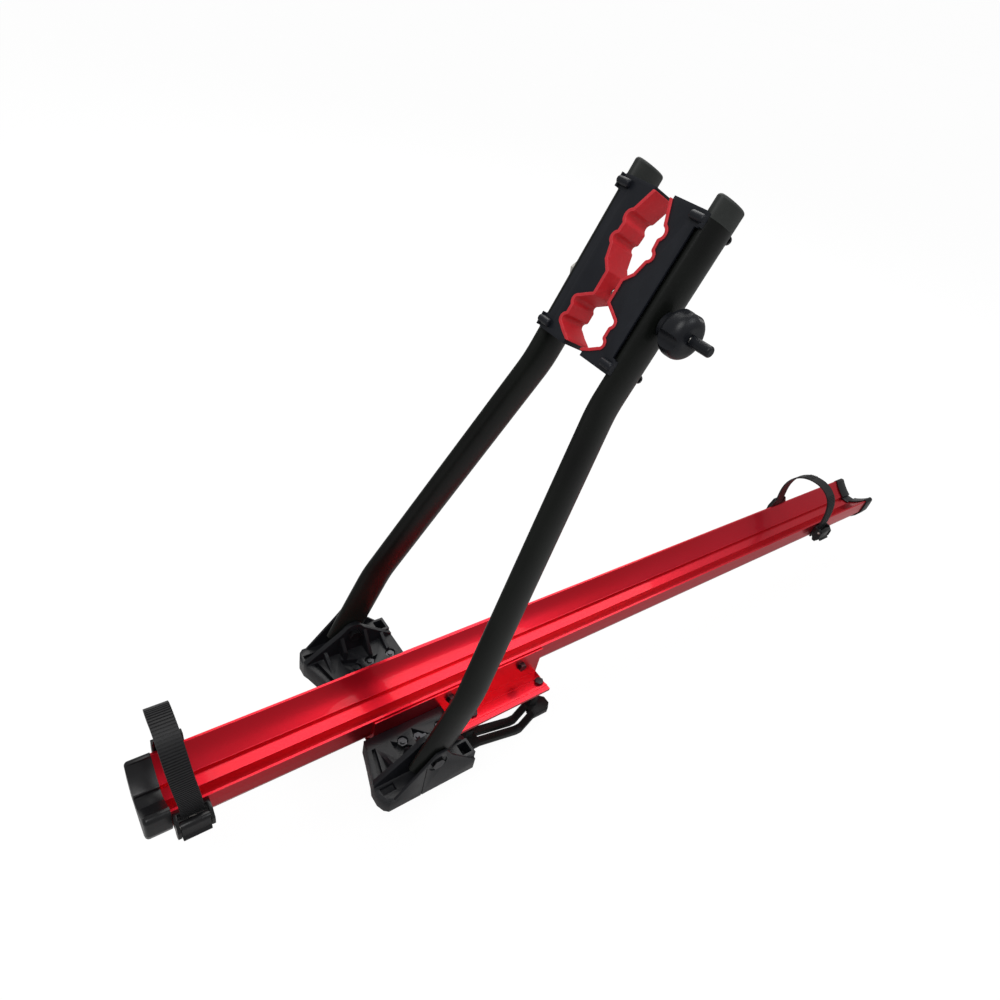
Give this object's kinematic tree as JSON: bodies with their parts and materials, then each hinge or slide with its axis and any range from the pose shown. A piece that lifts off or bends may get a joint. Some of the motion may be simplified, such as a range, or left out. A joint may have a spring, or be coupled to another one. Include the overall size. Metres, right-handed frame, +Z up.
{
  "type": "roof mounted bike carrier",
  "caption": "Long wheel channel on a clamp base for a roof bar, with folding arms, a rubber-lined frame clamp tightened by a knob, and ribbed wheel straps.",
  "frame": {"origin": "middle of the base profile's underside, where it rests on the roof bar, above the lowest point of the bar clamps", "axes": "+Z up, +X along the wheel channel towards its rear end, +Y towards the left, away from the clamp knob"},
  "size_m": [1.3, 0.2298, 0.6798],
  "materials": {
    "channel": "glossy metallic",
    "base": "glossy metallic",
    "cap": "matte",
    "foot": "matte",
    "plug": "matte",
    "arm": "satin",
    "shell": "satin",
    "jaw": "matte",
    "knob": "satin",
    "cap_black": "satin",
    "strap": "matte",
    "buckle": "satin",
    "bar_clamp": "satin",
    "dark_steel": "black zinc",
    "brass": "machined",
    "steel": "zinc plated"
  },
  "bodies": {
    "carrier": {"bar_clamp_bolts": "steel", "base_profile": "base", "buckle_body_front": "buckle", "buckle_body_rear": "buckle", "buckle_pin_front": "steel", "buckle_pin_rear": "steel", "channel_bolts": "steel", "channel_cap_front": "cap", "channel_cap_rear": "cap", "channel_rivet_nuts": "brass", "foot_bolts": "steel", "foot_left": "foot", "foot_nuts": "steel", "foot_right": "foot", "pivot_bolts": "steel", "pivot_nuts": "steel", "strap_anchor_front": "buckle", "strap_anchor_rear": "buckle", "strap_rivets_front": "steel", "strap_rivets_rear": "steel", "wheel_channel": "channel", "wheel_strap_front": "strap", "wheel_strap_rear": "strap"},
    "left_arm": {"arm_left": "arm", "arm_plug_left": "plug", "clamp_shell_left": "shell", "corner_pins_left": "dark_steel", "jaw_left": "jaw", "shell_screws_left": "dark_steel", "pivot_sleeve_left": "steel", "clamp_rod": "steel", "rod_nut": "steel", "rod_cap": "cap_black"},
    "right_arm": {"arm_right": "arm", "arm_plug_right": "plug", "clamp_shell_right": "shell", "corner_pins_right": "dark_steel", "jaw_right": "jaw", "shell_screws_right": "dark_steel", "pivot_sleeve_right": "steel", "knob_washer": "steel"},
    "knob": {"clamp_knob": "knob", "knob_insert": "brass"},
    "bar_clamp_left": {"bar_clamp_left": "bar_clamp", "bar_clamp_nuts_left": "steel", "bar_clamp_washers_left": "steel"},
    "bar_clamp_right": {"bar_clamp_right": "bar_clamp", "bar_clamp_nuts_right": "steel", "bar_clamp_washers_right": "steel"},
    "front_lever": {"buckle_lever_front": "buckle"},
    "rear_lever": {"buckle_lever_rear": "buckle"}
  },
  "joints": [
    {"name": "arm_fold", "type": "hinge", "parent": "carrier", "child": "left_arm", "pos_m": [-0.1623, 0, 0.0545], "axis": [0, 1, 0], "range_deg": [-18, 64]},
    {"name": "arm_squeeze", "type": "hinge", "parent": "left_arm", "child": "right_arm", "pos_m": [-0.1623, -0.1005, 0.0545], "axis": [-0.9191, 0, 0.3939], "range_deg": [0, 1.17]},
    {"name": "knob_turn", "type": "hinge", "parent": "right_arm", "child": "knob", "pos_m": [0.02909, -0.08, 0.50612], "axis": [0, 1, 0], "range_deg": [0, 2884]},
    {"name": "bar_clamp_slide_left", "type": "slide", "parent": "carrier", "child": "bar_clamp_left", "axis": [0, 0, 1], "range_m": [-0.004, 0.022]},
    {"name": "bar_clamp_slide_right", "type": "slide", "parent": "carrier", "child": "bar_clamp_right", "axis": [0, 0, 1], "range_m": [-0.004, 0.022]},
    {"name": "front_lever_turn", "type": "hinge", "parent": "carrier", "child": "front_lever", "pos_m": [-0.3885, -0.0467, 0.0395], "axis": [-1, 0, 0], "range_deg": [0, 100]},
    {"name": "rear_lever_turn", "type": "hinge", "parent": "carrier", "child": "rear_lever", "pos_m": [0.69, -0.0467, 0.0395], "axis": [-1, 0, 0], "range_deg": [0, 100]}
  ],
  "couplings": [
    {"joint": "knob_turn", "follows": "arm_squeeze", "ratio": 2465.5}
  ]
}
